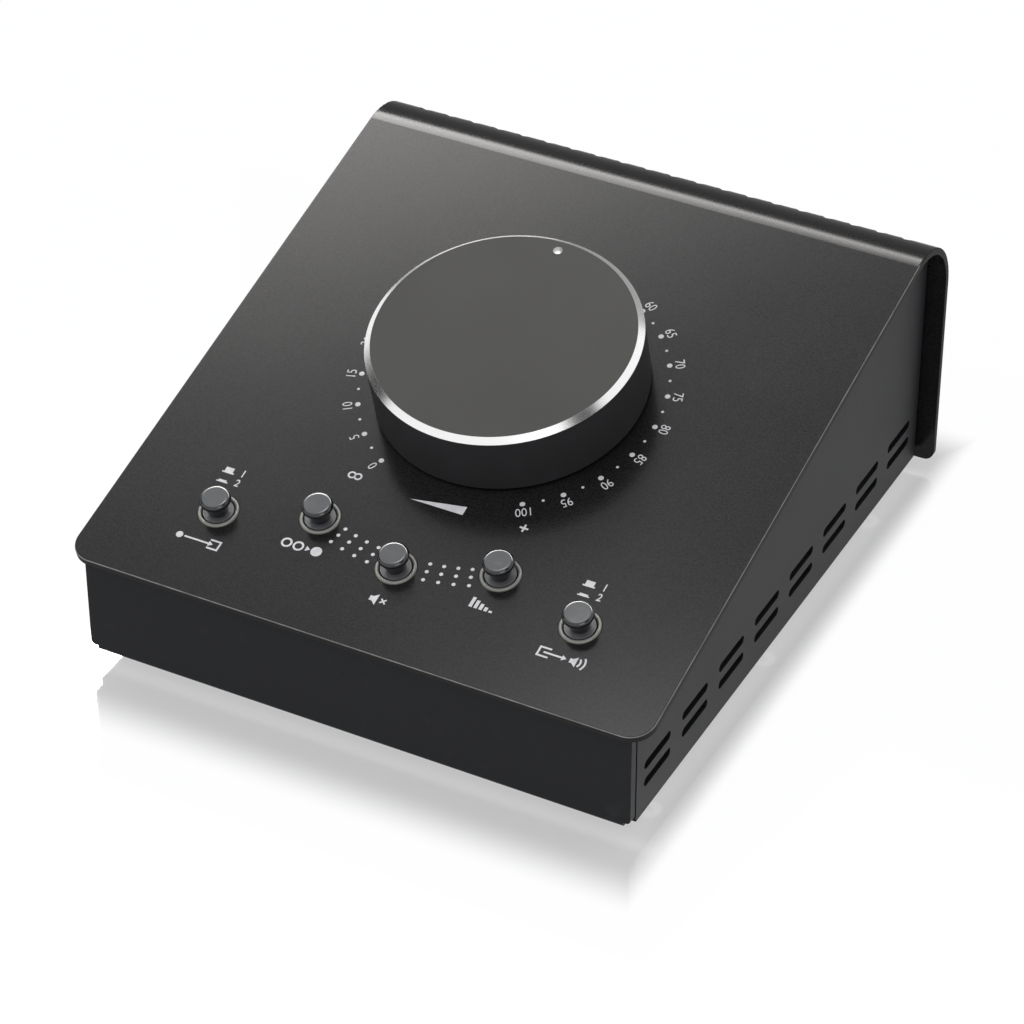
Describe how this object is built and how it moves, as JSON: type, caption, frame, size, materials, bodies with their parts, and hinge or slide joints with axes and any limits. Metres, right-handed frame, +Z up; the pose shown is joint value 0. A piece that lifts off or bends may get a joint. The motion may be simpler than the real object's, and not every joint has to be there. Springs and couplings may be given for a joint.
{
  "type": "studio monitor controller",
  "caption": "Desktop studio monitor controller: folded steel case with a sloping panel, a large volume knob, push buttons in rings and jack sockets behind.",
  "frame": {"origin": "on the floor under the centre of the case's box, midway between its sides and its ends", "axes": "+X to the user's right, +Y to the rear where the jacks are, +Z up"},
  "size_m": [0.136, 0.1521, 0.0728],
  "materials": {
    "cover_paint": "satin fine-grained powder coat",
    "chassis_paint": "satin powder coat",
    "plated_steel": "zinc plated",
    "knob_metal": "matte anodised, diamond-cut chamfer",
    "bezel_metal": "matte",
    "cap_plastic": "glossy",
    "insert_plastic": "moulded",
    "plunger_plastic": "moulded",
    "switch_plastic": "moulded",
    "jack_plastic": "moulded",
    "jack_plating": "nickel plated",
    "spring_steel": "bright",
    "pin_metal": "tinned",
    "board": "solder mask",
    "ribbon": "flat cable",
    "foot_rubber": "matt"
  },
  "bodies": {
    "case": {"top_cover": "cover_paint", "front_base_tray": "chassis_paint", "rear_side_frame": "chassis_paint", "base_rails": "plated_steel", "cover_studs": "plated_steel", "cover_nuts": "plated_steel", "tray_screws": "plated_steel", "hood_screws": "plated_steel", "hood_standoffs": "plated_steel", "board_standoffs": "plated_steel", "board_screws": "plated_steel", "pot_housing": "plated_steel", "pot_nut": "plated_steel", "pot_washer": "plated_steel", "jack_washers": "plated_steel", "source_bezel": "bezel_metal", "mono_bezel": "bezel_metal", "mute_bezel": "bezel_metal", "dim_bezel": "bezel_metal", "monitor_bezel": "bezel_metal", "source_switch_body": "switch_plastic", "mono_switch_body": "switch_plastic", "mute_switch_body": "switch_plastic", "dim_switch_body": "switch_plastic", "monitor_switch_body": "switch_plastic", "lower_jacks": "jack_plastic", "upper_jacks": "jack_plastic", "ribbon_headers": "jack_plastic", "jack_nuts": "jack_plating", "source_spring": "spring_steel", "mono_spring": "spring_steel", "mute_spring": "spring_steel", "dim_spring": "spring_steel", "monitor_spring": "spring_steel", "pot_pins": "pin_metal", "switch_pins": "pin_metal", "jack_pins": "pin_metal", "pot_bushing": "pin_metal", "control_board": "board", "jack_board": "board", "pot_track": "board", "ribbon_cable": "ribbon", "foot_front_left": "foot_rubber", "foot_front_right": "foot_rubber", "foot_rear_left": "foot_rubber", "foot_rear_right": "foot_rubber"},
    "knob": {"volume_knob": "knob_metal", "knob_insert": "insert_plastic", "pot_shaft": "spring_steel", "pot_wiper": "insert_plastic"},
    "source_button": {"source_button_cap": "cap_plastic", "source_plunger": "plunger_plastic"},
    "mono_button": {"mono_button_cap": "cap_plastic", "mono_plunger": "plunger_plastic"},
    "mute_button": {"mute_button_cap": "cap_plastic", "mute_plunger": "plunger_plastic"},
    "dim_button": {"dim_button_cap": "cap_plastic", "dim_plunger": "plunger_plastic"},
    "monitor_button": {"monitor_button_cap": "cap_plastic", "monitor_plunger": "plunger_plastic"}
  },
  "joints": [
    {"name": "volume_turn", "type": "hinge", "parent": "case", "child": "knob", "pos_m": [0, -0.00252, 0.04996], "axis": [0, -0.2588, 0.9659], "range_deg": [-150, 150]},
    {"name": "source_press", "type": "slide", "parent": "case", "child": "source_button", "axis": [0, 0.2588, -0.9659], "range_m": [0, 0.002], "stiffness_N_per_m": 500, "springref_m": -0.0015, "deforming": ["source_spring"]},
    {"name": "mono_press", "type": "slide", "parent": "case", "child": "mono_button", "axis": [0, 0.2588, -0.9659], "range_m": [0, 0.002], "stiffness_N_per_m": 500, "springref_m": -0.0015, "deforming": ["mono_spring"]},
    {"name": "mute_press", "type": "slide", "parent": "case", "child": "mute_button", "axis": [0, 0.2588, -0.9659], "range_m": [0, 0.002], "stiffness_N_per_m": 500, "springref_m": -0.0015, "deforming": ["mute_spring"]},
    {"name": "dim_press", "type": "slide", "parent": "case", "child": "dim_button", "axis": [0, 0.2588, -0.9659], "range_m": [0, 0.002], "stiffness_N_per_m": 500, "springref_m": -0.0015, "deforming": ["dim_spring"]},
    {"name": "monitor_press", "type": "slide", "parent": "case", "child": "monitor_button", "axis": [0, 0.2588, -0.9659], "range_m": [0, 0.002], "stiffness_N_per_m": 500, "springref_m": -0.0015, "deforming": ["monitor_spring"]}
  ]
}
